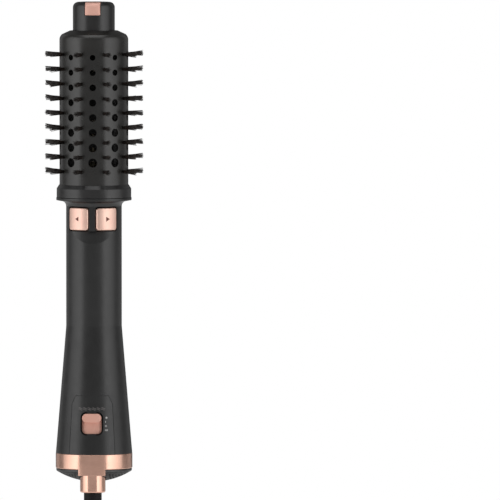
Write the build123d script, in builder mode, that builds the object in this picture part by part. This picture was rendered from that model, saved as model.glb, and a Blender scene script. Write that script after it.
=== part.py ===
from build123d import *

# Hot air brush with a rotating round head, built as separate pieces, in millimetres.
# +Z runs along the axis from the cord end to the tip. The front, with the buttons, faces -Y.
# The origin is on the axis at the middle of the grip.

import math
import os

os.makedirs("parts", exist_ok=True)

# ---- heights along the axis ----
ring_bottom = -140.0
ring_top = ring_bottom + 11.0
taper_top = ring_bottom + 104.0
flare_bottom = ring_bottom + 191.2
handle_top = ring_bottom + 196.2
plate_top = handle_top + 1.3
head_bottom = plate_top + 0.3
collar_edge = ring_bottom + 204.2
barrel_bottom = ring_bottom + 207.0
barrel_edge = ring_bottom + 313.2
barrel_top = ring_bottom + 319.4
cap_top = ring_bottom + 340.3
dome_bottom = ring_bottom - 10.0
outlet_bottom = ring_bottom - 17.2

# ---- radii and walls ----
ring_radius = 28.0
tail_radius = 27.9
grip_radius = 20.3
lip_radius = 27.4
wall = 2.0
barrel_radius = 25.1
barrel_wall = 1.8
collar_radius = 27.2
cap_radius = 15.3
gap = 0.3
run_fit = 0.05

# ---- switch panel and speed slider ----
panel_wall = 1.6
panel_low_half, panel_mid_half, panel_top_half = 16.8, 14.8, 12.0
panel_mid = ring_bottom + 48.0
panel_top = ring_bottom + 54.0
panel_gap = 0.15
taper = math.atan2(tail_radius - grip_radius, taper_top - ring_top)
window_z = ring_bottom + 33.6
window_width, window_height = 14.5, 14.9
slider_travel = 8.3
slider_grip_height = 6.2

# ---- direction buttons ----
button_angle = 32.7
button_z = ring_bottom + 182.5
button_width, button_height = 16.5, 16.3
button_gap = 0.9
scoop_depth, scoop_height, scoop_radius = 2.6, 9.3, 30.0
button_outer = grip_radius + 0.6

# ---- head ----
columns = 9
tuft_rows, tuft_pitch = 9, 10.68
hole_rows, hole_pitch = 8, 10.95
first_tuft = ring_bottom + 216.9
first_hole = ring_bottom + 223.7
column_step = 360.0 / columns
hole_offset = 1.7
tuft_offset = hole_offset + column_step / 2
hole_low, hole_high = 6.6, 4.2
tuft_tip_radius = 36.4
root_radius = 1.1
tab_width = 11.0
tab_height = 9.6
tab_gap = 0.3
tab_travel = 1.5

# ---- drive ----
module = 0.7
ring_teeth, pinion_teeth = 48, 10
pressure = math.radians(20)
pinion_offset = module * (ring_teeth - pinion_teeth) / 2
gear_bottom, gear_top = head_bottom + 0.7, head_bottom + 6.0
neck_radius, core_radius, core_wall = 8.5, 12.0, 1.2
core_shoulder = ring_bottom + 216.0
core_end = ring_bottom + 300.0
spindle_radius = 4.0
hub_radius = 7.5
hub_bottom, hub_top = ring_bottom + 305.0, ring_bottom + 315.5

# ---- cord ----
outlet_y = -14.5
outlet_radius = 9.25
boot_radius = 6.5
cord_diameter = 7.0
boot_bottom = outlet_bottom - 30.0
fold_radius = 21.0
hank_run = 105.0
hank_depth = 42.0
hank_waist = 11.0
hank_below_boot = 34.0


def cut_section(points):
    """A closed outline of (radius, height) points, in the plane that holds the axis."""
    with BuildSketch(Plane.XZ) as outline:
        with BuildLine():
            Polyline(*points, close=True)
        make_face()
    return outline.sketch


def around(angle, height, radius=0.0):
    """A plane facing outward, at an angle from the front towards +X."""
    turn = math.radians(angle)
    out = Vector(math.sin(turn), -math.cos(turn), 0)
    return Plane(
        origin=(radius * out.X, radius * out.Y, height),
        x_dir=(math.cos(turn), math.sin(turn), 0),
        z_dir=out,
    )


def head_seats(offset, height):
    """The planes of one ring of holes or tufts on the barrel, one for each column."""
    return [around(offset + column_step * column, height, barrel_radius) for column in range(columns)]


def save(piece, name):
    """Label a finished piece and write its STEP file."""
    piece.part.label = name
    export_step(piece.part, "parts/" + name + ".step")


def handle_radius(height):
    """Outer radius of the handle at a height on its taper."""
    return grip_radius + max(0.0, taper_top - height) * math.tan(taper)


# ================= handle shells =================

panel_points = [
    (-panel_low_half, ring_top),
    (panel_low_half, ring_top),
    (panel_mid_half, panel_mid),
    (panel_top_half, panel_top),
    (-panel_top_half, panel_top),
    (-panel_mid_half, panel_mid),
]

with BuildPart() as handle_wall:
    with BuildSketch(Plane.XZ):
        with BuildLine():
            outer = Line((tail_radius, ring_top), (grip_radius, taper_top))
            straight = Line(outer @ 1, (grip_radius, flare_bottom))
            flare = TangentArc(straight @ 1, (grip_radius + 3.9, flare_bottom + 3.9), tangent=straight % 1)
            Polyline(
                flare @ 1,
                (lip_radius, handle_top - 0.5),
                (lip_radius, handle_top),
                (grip_radius + 1.2, handle_top),
                (grip_radius - wall, flare_bottom + 2.2),
                (grip_radius - wall, taper_top),
                (tail_radius - wall - 0.35, ring_top + 4.0),
                (tail_radius - 4.5, ring_top + 1.5),
                (tail_radius - 4.5, ring_bottom + 3.0),
                (tail_radius - 2.6, ring_bottom + 3.0),
                (tail_radius - 2.6, ring_top),
                outer @ 0,
            )
        make_face()
    revolve(axis=Axis.Z)

# A shallow thumb scoop under the buttons: a leaning cylinder flatter than the grip, with its own floor inside.
scoop_top = button_z - 8.7
scoop_lean = math.atan2(scoop_depth, scoop_height)
scoop_base = Plane(
    origin=(0, -grip_radius, scoop_top - scoop_height),
    x_dir=(1, 0, 0),
    z_dir=(0, math.sin(scoop_lean), math.cos(scoop_lean)),
)


def scoop_block(radius, top):
    """The front of the grip outside a leaning cylinder, up to a height."""
    with BuildPart() as block:
        with BuildSketch(Plane.XY.offset(scoop_top - scoop_height - 2.0)):
            with Locations((0, -20.0)):
                Rectangle(31.0, 20.0)
        extrude(amount=top - scoop_top + scoop_height + 2.0)
        with BuildSketch(scoop_base.offset(-20.0)):
            with Locations((0, scoop_radius)):
                Circle(radius)
        extrude(amount=50.0, mode=Mode.SUBTRACT)
    return block.part


with BuildPart() as scoop_floor:
    add(scoop_block(scoop_radius - 1.8, scoop_top + 1.5))
    with BuildSketch(Plane.XY):
        Circle(grip_radius - 0.5)
    extrude(amount=60.0, mode=Mode.INTERSECT)

with BuildPart() as front_shell:
    add(handle_wall.part)
    split(bisect_by=Plane.XZ, keep=Keep.TOP)
    with BuildSketch(Plane.XZ):
        with BuildLine():
            Polyline(*panel_points, close=True)
        make_face()
    extrude(amount=40, mode=Mode.SUBTRACT)
    add(scoop_floor.part)
    add(scoop_block(scoop_radius, scoop_top), mode=Mode.SUBTRACT)
    for side in (-1, 1):
        with BuildSketch(around(side * button_angle, button_z, 12.0)):
            RectangleRounded(button_width + 2 * button_gap, button_height + 2 * button_gap, 2.4)
        extrude(amount=12, mode=Mode.SUBTRACT)
save(front_shell, "front_shell")

screw_heights = [ring_bottom + 100.0, ring_bottom + 182.0]
with BuildPart() as rear_shell:
    add(handle_wall.part)
    split(bisect_by=Plane.XZ, keep=Keep.BOTTOM)
    for height in screw_heights:
        with BuildSketch(around(180, height, 15.0)):
            Circle(2.6)
        extrude(amount=14, mode=Mode.SUBTRACT)
save(rear_shell, "rear_shell")

with BuildPart() as shell_screws:
    for height in screw_heights:
        with BuildSketch(around(180, height, handle_radius(height) - wall)):
            Circle(2.6)
        extrude(amount=wall - 0.7)
        with BuildSketch(around(180, height, handle_radius(height) - wall)):
            Circle(1.4)
        extrude(amount=-3.0)
        with BuildSketch(around(180, height, handle_radius(height) - 0.7)):
            Rectangle(3.0, 0.7)
            Rectangle(0.7, 3.0)
        extrude(amount=-0.8, mode=Mode.SUBTRACT)
save(shell_screws, "shell_screws")

with BuildPart() as handle_plate:
    revolve(
        cut_section(
            [
                (neck_radius, handle_top),
                (lip_radius + 0.1, handle_top),
                (lip_radius + 0.1, plate_top),
                (neck_radius, plate_top),
            ]
        ),
        axis=Axis.Z,
    )
    with Locations((0, pinion_offset, plate_top)):
        Hole(1.6)
save(handle_plate, "handle_plate")

# ================= switch panel, slider and its switch =================

panel_cut = [(x * (1 - panel_gap / abs(x)), z) for x, z in panel_points]
with BuildPart() as switch_panel:
    revolve(
        cut_section(
            [
                (tail_radius, ring_top),
                (handle_radius(panel_top - panel_gap), panel_top - panel_gap),
                (handle_radius(panel_top - panel_gap) - panel_wall, panel_top - panel_gap),
                (tail_radius - panel_wall, ring_top),
            ]
        ),
        axis=Axis.Z,
    )
    with BuildSketch(Plane.XZ):
        with BuildLine():
            Polyline(*panel_cut, close=True)
        make_face()
    extrude(amount=40, mode=Mode.INTERSECT)
    with BuildSketch(Plane.XZ.offset(15)):
        with Locations((0, window_z)):
            RectangleRounded(window_width, window_height, 3.1)
    extrude(amount=25, mode=Mode.SUBTRACT)
save(switch_panel, "switch_panel")

# The slider runs along the taper's line at the front.
slide_down = Vector(0, -math.sin(taper), -math.cos(taper))
window_radius = handle_radius(window_z)
slider_base = Plane(
    origin=(0, -window_radius, window_z),
    x_dir=(1, 0, 0),
    z_dir=slide_down,
)
plate_outer = window_radius - panel_wall - 0.25
plate_inner = plate_outer - 1.4
plate_above = window_height / 2 + slider_travel + 1.0
plate_below = window_height / 2 + 1.0

with BuildPart() as speed_slider:
    with BuildSketch(slider_base.offset(-plate_above)):
        with Locations((0, -window_radius)):
            Circle(plate_outer)
            Circle(plate_inner, mode=Mode.SUBTRACT)
            with Locations((0, window_radius)):
                Rectangle(window_width + 3.0, 16.0, mode=Mode.INTERSECT)
    extrude(amount=plate_above + plate_below)
    grip_z = window_height / 2 - slider_grip_height / 2 - 0.2
    with BuildSketch(Plane(origin=slider_base.origin, x_dir=(1, 0, 0), z_dir=(0, -1, 0)).offset(-6)):
        with Locations((0, grip_z)):
            SlotOverall(window_width - 0.5, slider_grip_height)
    extrude(amount=6.9)
    stem = Plane(origin=(0, -plate_inner - 0.5, window_z + grip_z), x_dir=(1, 0, 0), z_dir=(0, 1, 0))
    with BuildSketch(stem):
        Rectangle(5.0, 3.0)
    extrude(amount=2.5)
save(speed_slider, "speed_slider")

switch_front = plate_inner - 3.6
with BuildPart() as slide_switch:
    with BuildSketch(Plane(origin=(0, -switch_front, window_z), x_dir=(1, 0, 0), z_dir=(0, 1, 0))):
        Rectangle(11.0, 26.0)
    extrude(amount=6.0)
    fillet(slide_switch.edges().filter_by(Axis.Y), 1.0)
    with BuildSketch(Plane(origin=(0, -switch_front + 6.0, window_z), x_dir=(1, 0, 0), z_dir=(0, 1, 0))):
        with GridLocations(6.0, 6.0, 2, 4):
            Rectangle(1.6, 0.6)
    extrude(amount=3.0)
save(slide_switch, "slide_switch")

# ================= tail ring, cord outlet, inlet dome =================

tongue_half = 9.85
tongue_bottom = ring_bottom - 4.4

with BuildPart() as tail_ring:
    with BuildSketch(Plane.XZ):
        with BuildLine():
            Polyline(
                (tail_radius - 2.6, ring_bottom),
                (ring_radius - 0.4, ring_bottom),
                (ring_radius, ring_bottom + 0.4),
                (ring_radius, ring_top - 0.3),
                (ring_radius - 0.3, ring_top),
                (tail_radius - 2.6, ring_top),
                close=True,
            )
        make_face()
    revolve(axis=Axis.Z)
    with BuildSketch(Plane(origin=(0, outlet_y, 0), x_dir=(1, 0, 0), z_dir=(0, -1, 0))):
        with BuildLine():
            side = Line((outlet_radius, ring_bottom + 1.5), (outlet_radius, outlet_bottom + 1.0))
            edge = TangentArc(side @ 1, (outlet_radius - 1.0, outlet_bottom), tangent=side % 1)
            Polyline(edge @ 1, (0, outlet_bottom), (0, ring_bottom + 1.5), side @ 0)
        make_face()
    revolve(axis=Axis((0, outlet_y, 0), (0, 0, 1)))
    with BuildSketch(Plane.XY.offset(tongue_bottom)):
        Circle(ring_radius)
        with Locations((0, outlet_y - 10)):
            Rectangle(2 * tongue_half, 20, mode=Mode.INTERSECT)
    extrude(amount=ring_bottom + 1.5 - tongue_bottom)
    with BuildSketch(Plane.XY.offset(outlet_bottom)):
        with Locations((0, outlet_y)):
            Circle(boot_radius + 0.08)
    extrude(amount=30, mode=Mode.SUBTRACT)
    with BuildSketch(Plane.XY.offset(outlet_bottom + 11.0)):
        with Locations((0, outlet_y)):
            Circle(boot_radius + 1.5)
    extrude(amount=20, mode=Mode.SUBTRACT)
save(tail_ring, "tail_ring")

dome_radius = 27.5
dome_edge = ring_bottom - 2.0
dome_seat = tail_radius - 2.6
hole_rings = [(6, 5.0), (12, 10.0), (18, 15.0), (26, 20.0), (30, 23.4)]

with BuildPart() as inlet_dome:
    with BuildSketch(Plane.XZ):
        with BuildLine():
            bowl = TangentArc((0, dome_bottom), (dome_radius, dome_edge), tangent=(1, 0))
            rim = Polyline(bowl @ 1, (dome_radius, ring_bottom), (dome_seat, ring_bottom), (dome_seat, dome_edge + 0.8))
            inside = TangentArc((0, dome_bottom + 1.4), rim @ 1, tangent=(1, 0))
            Line(inside @ 0, bowl @ 0)
        make_face()
    revolve(axis=Axis.Z)
    with BuildSketch(Plane.XY.offset(dome_bottom - 1)):
        for count, ring in hole_rings:
            for step in range(count):
                turn = 2 * math.pi * (step + 0.5) / count
                x, y = ring * math.sin(turn), ring * math.cos(turn)
                beside_outlet = math.hypot(x, y - outlet_y) > outlet_radius + 2.0
                if beside_outlet and not (abs(x) < tongue_half + 2.0 and y < outlet_y):
                    with Locations((x, y)):
                        Circle(1.1)
    extrude(amount=9.5, mode=Mode.SUBTRACT)
    with BuildSketch(Plane.XY.offset(dome_bottom - 1)):
        with Locations((0, outlet_y)):
            Circle(outlet_radius + 0.1)
        with Locations((0, outlet_y - 10)):
            Rectangle(2 * tongue_half + 0.2, 20)
    extrude(amount=12, mode=Mode.SUBTRACT)
save(inlet_dome, "inlet_dome")

with BuildPart() as inlet_filter:
    with BuildSketch(Plane.XY.offset(ring_bottom + 1.6)):
        Circle(23.0)
        with Locations((0, outlet_y)):
            Circle(outlet_radius + 0.5, mode=Mode.SUBTRACT)
        with Locations((0, outlet_y - 10)):
            Rectangle(2 * outlet_radius + 1, 20, mode=Mode.SUBTRACT)
    extrude(amount=1.2)
save(inlet_filter, "inlet_filter")

with BuildPart() as cord_clamp:
    with BuildSketch(Plane.XY.offset(ring_bottom + 4.5)):
        with Locations((0, outlet_y + 2)):
            Rectangle(22.0, 9.0)
    extrude(amount=6.0)
    fillet(cord_clamp.edges().filter_by(Axis.Z), 1.5)
    with Locations((-8, outlet_y + 2, ring_bottom + 10.5), (8, outlet_y + 2, ring_bottom + 10.5)):
        Hole(1.3)
    with BuildSketch(Plane.XY.offset(ring_bottom + 4.5)):
        with Locations((0, outlet_y)):
            Circle(2.2)
    extrude(amount=6.0, mode=Mode.SUBTRACT)
save(cord_clamp, "cord_clamp")

with BuildPart() as power_board:
    with BuildSketch(Plane(origin=(0, 12.0, ring_bottom + 36.0), x_dir=(1, 0, 0), z_dir=(0, -1, 0))):
        RectangleRounded(30.0, 40.0, 1.5)
    extrude(amount=1.6)
save(power_board, "power_board")

with BuildPart() as board_parts:
    board_face = Plane(origin=(0, 10.4, ring_bottom + 36.0), x_dir=(1, 0, 0), z_dir=(0, -1, 0))
    with BuildSketch(board_face):
        with Locations((-8, 12)):
            Circle(4.0)
    extrude(amount=9.0)
    with BuildSketch(board_face):
        with Locations((7, 10)):
            Rectangle(9.0, 12.0)
    extrude(amount=7.0)
    with BuildSketch(board_face):
        with Locations((-7, -8)):
            Rectangle(12.0, 7.0)
    extrude(amount=5.0)
    with BuildSketch(board_face):
        with Locations((8, -4), (8, -9), (8, -14)):
            RectangleRounded(7.0, 2.8, 1.2)
    extrude(amount=2.8)
save(board_parts, "board_parts")

# ================= fan =================

fan_bottom = ring_bottom + 62.0
fan_radius = 17.0

with BuildPart() as fan_housing:
    revolve(
        cut_section(
            [
                (fan_radius + 0.8, fan_bottom),
                (fan_radius + 4.2, fan_bottom),
                (fan_radius + 4.2, fan_bottom + 1.6),
                (fan_radius + 2.4, fan_bottom + 3.0),
                (fan_radius + 2.2, fan_bottom + 26.0),
                (fan_radius + 0.8, fan_bottom + 26.0),
            ]
        ),
        axis=Axis.Z,
    )
    with BuildSketch(Plane.XY.offset(fan_bottom + 20.0)):
        Circle(13.4)
        Circle(12.0, mode=Mode.SUBTRACT)
        for vane in range(5):
            with Locations(Rotation(0, 0, 72 * vane)):
                with Locations((15.4, 0)):
                    Rectangle(4.8, 1.2)
    extrude(amount=6.0)
save(fan_housing, "fan_housing")

with BuildPart() as fan_motor:
    revolve(
        cut_section(
            [
                (1.05, fan_bottom + 17.0),
                (3.5, fan_bottom + 17.0),
                (3.5, fan_bottom + 19.0),
                (12.0, fan_bottom + 19.0),
                (12.0, fan_bottom + 48.0),
                (0.0, fan_bottom + 48.0),
                (0.0, fan_bottom + 40.0),
                (1.05, fan_bottom + 40.0),
            ]
        ),
        axis=Axis.Z,
    )
save(fan_motor, "fan_motor")

with BuildPart() as fan_shaft:
    with BuildSketch(Plane.XY.offset(fan_bottom + 2.0)):
        Circle(1.0)
    extrude(amount=37.5)
save(fan_shaft, "fan_shaft")

with BuildPart() as fan_impeller:
    revolve(
        cut_section(
            [
                (1.0, fan_bottom + 3.0),
                (4.5, fan_bottom + 3.0),
                (8.5, fan_bottom + 6.0),
                (8.5, fan_bottom + 15.0),
                (1.0, fan_bottom + 15.0),
            ]
        ),
        axis=Axis.Z,
    )
    for blade in range(7):
        with BuildSketch(around(360 / 7 * blade, fan_bottom + 9.5, 7.5)):
            Rectangle(1.0, 9.0, rotation=38)
        extrude(amount=fan_radius - 7.5)
save(fan_impeller, "fan_impeller")

# ================= head drive =================

motor_bottom = ring_bottom + 118.0
box_bottom = motor_bottom + 28.0
box_top = box_bottom + 16.0

with BuildPart() as drive_motor:
    with BuildSketch(Plane.XY.offset(motor_bottom)):
        Circle(10.0)
        Rectangle(30, 15.5, mode=Mode.INTERSECT)
    extrude(amount=28.0)
    with BuildSketch(Plane.XY.offset(motor_bottom - 2.0)):
        Circle(3.0)
    extrude(amount=2.0)
save(drive_motor, "drive_motor")

with BuildPart() as drive_gearbox:
    with BuildSketch(Plane.XY.offset(box_bottom)):
        Circle(9.5)
        with Locations((0, pinion_offset)):
            Circle(4.3)
        with Locations((0, pinion_offset / 2)):
            Rectangle(8.6, pinion_offset)
    extrude(amount=box_top - box_bottom)
    with BuildSketch(Plane.XY.offset(box_top)):
        with Locations((0, pinion_offset)):
            Circle(3.0)
    extrude(amount=4.0)
    with BuildSketch(Plane.XY.offset(box_top - 6.0)):
        with Locations((0, pinion_offset)):
            Circle(1.5 + run_fit)
    extrude(amount=12.0, mode=Mode.SUBTRACT)
save(drive_gearbox, "drive_gearbox")

with BuildPart() as pinion_shaft:
    with BuildSketch(Plane.XY.offset(box_top - 5.5)):
        with Locations((0, pinion_offset)):
            Circle(1.5)
    extrude(amount=gear_top - 0.8 - (box_top - 5.5))
save(pinion_shaft, "pinion_shaft")


def involute(radius, base):
    """The involute's polar angle at a radius."""
    slope = math.acos(min(1.0, base / radius))
    return math.tan(slope) - slope


def tooth_points(teeth, low, high, widen, start):
    """Outline of a gear whose tooth angles are widened (or thinned) by an arc length at the pitch circle."""
    pitch_radius = module * teeth / 2
    base = pitch_radius * math.cos(pressure)
    half = math.pi / (2 * teeth) + widen / (2 * pitch_radius) + involute(pitch_radius, base)
    flank = [low, (low + pitch_radius) / 2, pitch_radius, (high + pitch_radius) / 2, high]
    points = []
    for tooth in range(teeth):
        middle = start + 2 * math.pi * tooth / teeth
        sides = [(r, half - involute(max(r, base), base)) for r in flank]
        for r, angle in sides:
            points.append((r * math.cos(middle - angle), r * math.sin(middle - angle)))
        for r, angle in reversed(sides):
            points.append((r * math.cos(middle + angle), r * math.sin(middle + angle)))
    return points


backlash = 0.14
with BuildPart() as drive_pinion:
    with BuildSketch(Plane((0, pinion_offset, gear_bottom))):
        with BuildLine():
            Polyline(*tooth_points(pinion_teeth, 2.6, 4.0, -backlash, math.pi / 2), close=True)
        make_face()
    extrude(amount=gear_top - 0.8 - gear_bottom)
    with BuildSketch(Plane.XY.offset(gear_bottom)):
        with Locations((0, pinion_offset)):
            Circle(1.5)
    extrude(amount=10, mode=Mode.SUBTRACT)
save(drive_pinion, "drive_pinion")

lug_inner, lug_outer, lug_half = 14.4, 18.4, 3.0
lug_top = gear_top + 5.0
with BuildPart() as drive_ring:
    with BuildSketch(Plane.XY.offset(gear_bottom)):
        Circle(20.0)
        with BuildLine():
            Polyline(*tooth_points(ring_teeth, 16.4, 17.65, backlash, math.pi / 2), close=True)
        make_face(mode=Mode.SUBTRACT)
    extrude(amount=gear_top - gear_bottom)
    with BuildSketch(Plane.XY.offset(gear_top)):
        Circle(20.0)
        Circle(neck_radius + run_fit, mode=Mode.SUBTRACT)
    extrude(amount=1.5)
    with BuildSketch(Plane.XY.offset(gear_top + 1.5)):
        for lug in range(3):
            with Locations(Rotation(0, 0, 90 + 120 * lug)):
                with Locations(((lug_inner + lug_outer) / 2, 0)):
                    RectangleRounded(lug_outer - lug_inner, 2 * lug_half, 0.6)
    extrude(amount=lug_top - gear_top - 1.5)
save(drive_ring, "drive_ring")

# ================= core tube and heater =================

with BuildPart() as core_tube:
    revolve(
        cut_section(
            [
                (neck_radius - core_wall, handle_top - 4.0),
                (neck_radius, handle_top - 4.0),
                (neck_radius, core_shoulder - 5.5),
                (core_radius, core_shoulder),
                (core_radius, core_end),
                (spindle_radius + 2.0, core_end + 3.5),
                (spindle_radius, core_end + 3.5),
                (spindle_radius, hub_top + 1.6),
                (spindle_radius - 1.8, hub_top + 1.6),
                (spindle_radius - 1.8, core_end + 2.3),
                (core_radius - core_wall, core_end - 0.7),
                (core_radius - core_wall, core_shoulder + 0.5),
                (neck_radius - core_wall, core_shoulder - 5.0),
            ]
        ),
        axis=Axis.Z,
    )
    for level in range(8):
        with BuildSketch(Plane.XZ.offset(-20)):
            with Locations((0, core_shoulder + 6.0 + 10.0 * level)):
                Circle(2.6)
        extrude(amount=40, mode=Mode.SUBTRACT)
        with BuildSketch(Plane.YZ.offset(-20)):
            with Locations((0, core_shoulder + 6.0 + 10.0 * level)):
                Circle(2.6)
        extrude(amount=40, mode=Mode.SUBTRACT)
save(core_tube, "core_tube")

mica_half = 9.2
with BuildPart() as heater_frame:
    with BuildSketch(Plane.XY.offset(core_shoulder + 4.0)):
        Rectangle(2 * mica_half, 0.9)
        Rectangle(0.9, 2 * mica_half)
    extrude(amount=74.0)
save(heater_frame, "heater_frame")

with BuildPart() as heater_windings:
    for turn in range(12):
        with BuildSketch(Plane.XY.offset(core_shoulder + 8.0 + 6.0 * turn)):
            Circle(mica_half + 0.9)
            Circle(mica_half + 0.03, mode=Mode.SUBTRACT)
        extrude(amount=0.9)
save(heater_windings, "heater_windings")

with BuildPart() as thermostat:
    with BuildSketch(Plane.XY.offset(core_shoulder + 4.0)):
        with Locations((4.0, 4.0)):
            RectangleRounded(5.0, 5.0, 1.0)
    extrude(amount=9.0)
save(thermostat, "thermostat")

with BuildPart() as tip_hub:
    revolve(
        cut_section(
            [
                (spindle_radius + run_fit, hub_bottom),
                (hub_radius, hub_bottom),
                (hub_radius, hub_top - 1.0),
                (hub_radius - 1.0, hub_top),
                (spindle_radius + run_fit, hub_top),
            ]
        ),
        axis=Axis.Z,
    )
save(tip_hub, "tip_hub")

with BuildPart() as hub_clip:
    with BuildSketch(Plane.XY.offset(hub_top + 0.4)):
        Circle(5.6)
        Circle(spindle_radius, mode=Mode.SUBTRACT)
        with Locations((0, 4.5)):
            Rectangle(3.0, 4.0, mode=Mode.SUBTRACT)
    extrude(amount=0.8)
save(hub_clip, "hub_clip")

# ================= brush head =================

barrel_inner = barrel_radius - barrel_wall
shoulder = barrel_edge + 3.6

with BuildPart() as barrel:
    with BuildSketch(Plane.XZ):
        with BuildLine():
            side = Line((barrel_radius, barrel_bottom), (barrel_radius, barrel_edge))
            crown = ThreePointArc(side @ 1, (barrel_radius - 0.6, barrel_edge + 2.0), (23.2, shoulder))
            Polyline(
                crown @ 1,
                (17.6, barrel_top),
                (cap_radius - 1.8, barrel_top),
                (cap_radius - 1.8, barrel_top - 2.0),
                (17.0, barrel_top - 2.0),
                (22.0, shoulder - 1.2),
                (barrel_inner, barrel_edge),
                (barrel_inner, barrel_bottom),
                side @ 0,
            )
        make_face()
    revolve(axis=Axis.Z)
    for row in range(hole_rows):
        size = hole_low + (hole_high - hole_low) * row / (hole_rows - 1)
        with Locations(*head_seats(hole_offset, first_hole + hole_pitch * row)):
            Cylinder(size / 2, 16, mode=Mode.SUBTRACT)
    for row in range(tuft_rows):
        with Locations(*head_seats(tuft_offset, first_tuft + tuft_pitch * row)):
            Cylinder(root_radius, 16, mode=Mode.SUBTRACT)
save(barrel, "barrel")

for column in range(columns):
    seats = [
        around(tuft_offset + column_step * column, first_tuft + tuft_pitch * row, barrel_inner + 0.2)
        for row in range(tuft_rows)
    ]
    root_length = barrel_wall - 0.2
    with BuildPart() as tuft_column:
        with Locations(*seats):
            Cylinder(root_radius, root_length, align=(Align.CENTER, Align.CENTER, Align.MIN))
        with Locations(*[seat.offset(root_length) for seat in seats]):
            Cone(
                root_radius,
                root_radius + 0.75,
                tuft_tip_radius - barrel_radius,
                align=(Align.CENTER, Align.CENTER, Align.MIN),
            )
    save(tuft_column, "tuft_column_" + str(column + 1))

flange_bottom, flange_top = gear_top + 2.6, gear_top + 5.6
with BuildPart() as collar:
    revolve(
        cut_section(
            [
                (20.4, head_bottom),
                (collar_radius, head_bottom),
                (collar_radius, collar_edge),
                (barrel_radius + 0.3, barrel_bottom),
                (barrel_inner, barrel_bottom),
                (barrel_inner, flange_top),
                (core_radius + 0.8, flange_top),
                (core_radius + 0.8, flange_bottom),
                (20.4, flange_bottom),
            ]
        ),
        axis=Axis.Z,
    )
    with BuildSketch(Plane.XY.offset(flange_bottom)):
        for lug in range(3):
            with Locations(Rotation(0, 0, 90 + 120 * lug)):
                with Locations(((lug_inner + lug_outer) / 2, 0)):
                    RectangleRounded(lug_outer - lug_inner + 2 * gap, 2 * lug_half + 2 * gap, 0.8)
    extrude(amount=10, mode=Mode.SUBTRACT)
save(collar, "collar")

spider_bottom = hub_bottom + 1.0
with BuildPart() as head_spider:
    with BuildSketch(Plane.XY.offset(spider_bottom)):
        Circle(barrel_inner)
        Circle(barrel_inner - 1.6, mode=Mode.SUBTRACT)
        Circle(hub_radius + 2.2)
        for spoke in range(4):
            with Locations(Rotation(0, 0, 45 + 90 * spoke)):
                with Locations((15.4, 0)):
                    Rectangle(14.0, 2.0)
        Circle(hub_radius + gap, mode=Mode.SUBTRACT)
    extrude(amount=3.0)
save(head_spider, "head_spider")

with BuildPart() as end_cap:
    with BuildSketch(Plane.XZ):
        with BuildLine():
            side = Line((cap_radius, barrel_top), (cap_radius, cap_top - 4.0))
            corner = TangentArc(side @ 1, (cap_radius - 4.0, cap_top), tangent=side % 1)
            Polyline(
                corner @ 1,
                (0, cap_top),
                (0, cap_top - 1.8),
                (cap_radius - 4.6, cap_top - 1.8),
                (cap_radius - 1.8, cap_top - 4.6),
                (cap_radius - 1.8, barrel_top),
                side @ 0,
            )
        make_face()
    revolve(axis=Axis.Z)
    for facing in (-1, 1):
        with BuildSketch(Plane.XZ.offset(-facing * (cap_radius - 6.3 - tab_travel))):
            with Locations((0, cap_top - tab_height / 2 + 1)):
                Rectangle(tab_width + 2 * tab_gap, tab_height + 2)
        extrude(amount=-facing * 14, mode=Mode.SUBTRACT)
save(end_cap, "end_cap")

tab_wall = 2.0
for facing, name in ((-1, "front_tab"), (1, "rear_tab")):
    with BuildPart() as tab:
        with BuildSketch(Plane.XZ):
            with BuildLine():
                side = Line((cap_radius, cap_top - tab_height + tab_gap), (cap_radius, cap_top - 4.0))
                corner = TangentArc(side @ 1, (cap_radius - 4.0, cap_top), tangent=side % 1)
                Polyline(
                    corner @ 1,
                    (5.0, cap_top),
                    (5.0, cap_top - tab_wall),
                    (cap_radius - 4.0, cap_top - tab_wall),
                    (cap_radius - tab_wall - 0.4, cap_top - 4.4),
                    (cap_radius - tab_wall - 0.4, cap_top - tab_height + tab_gap),
                    side @ 0,
                )
            make_face()
        revolve(axis=Axis.Z)
        with BuildSketch(Plane.XZ.offset(-facing * (cap_radius - 6.3 + tab_gap))):
            with Locations((0, cap_top)):
                Rectangle(tab_width, 60)
        extrude(amount=-facing * 12, mode=Mode.INTERSECT)
        with BuildSketch(Plane.XZ.offset(-facing * 9.8)):
            with Locations((0, (cap_top - 1.0 + hub_bottom + 6.0) / 2)):
                Rectangle(6.0, cap_top - 1.0 - hub_bottom - 6.0)
        extrude(amount=-facing * 1.4)
    save(tab, name)

with BuildPart() as tab_spring:
    with BuildSketch(Plane.YZ.offset(-2.5)):
        with BuildLine():
            left = Line((-9.8, hub_top + 4.0), (-9.8, hub_top + 8.0))
            Line(left @ 1, (-4.0, cap_top - 5.0))
            Line((-4.0, cap_top - 5.0), (4.0, cap_top - 5.0))
            Line((4.0, cap_top - 5.0), (9.8, hub_top + 8.0))
            Line((9.8, hub_top + 8.0), (9.8, hub_top + 4.0))
            Polyline(
                (9.8, hub_top + 4.0),
                (9.3, hub_top + 4.0),
                (9.3, hub_top + 7.8),
                (3.8, cap_top - 5.5),
                (-3.8, cap_top - 5.5),
                (-9.3, hub_top + 7.8),
                (-9.3, hub_top + 4.0),
                left @ 0,
            )
        make_face()
    extrude(amount=5.0)
save(tab_spring, "tab_spring")

# ================= direction buttons =================

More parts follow.
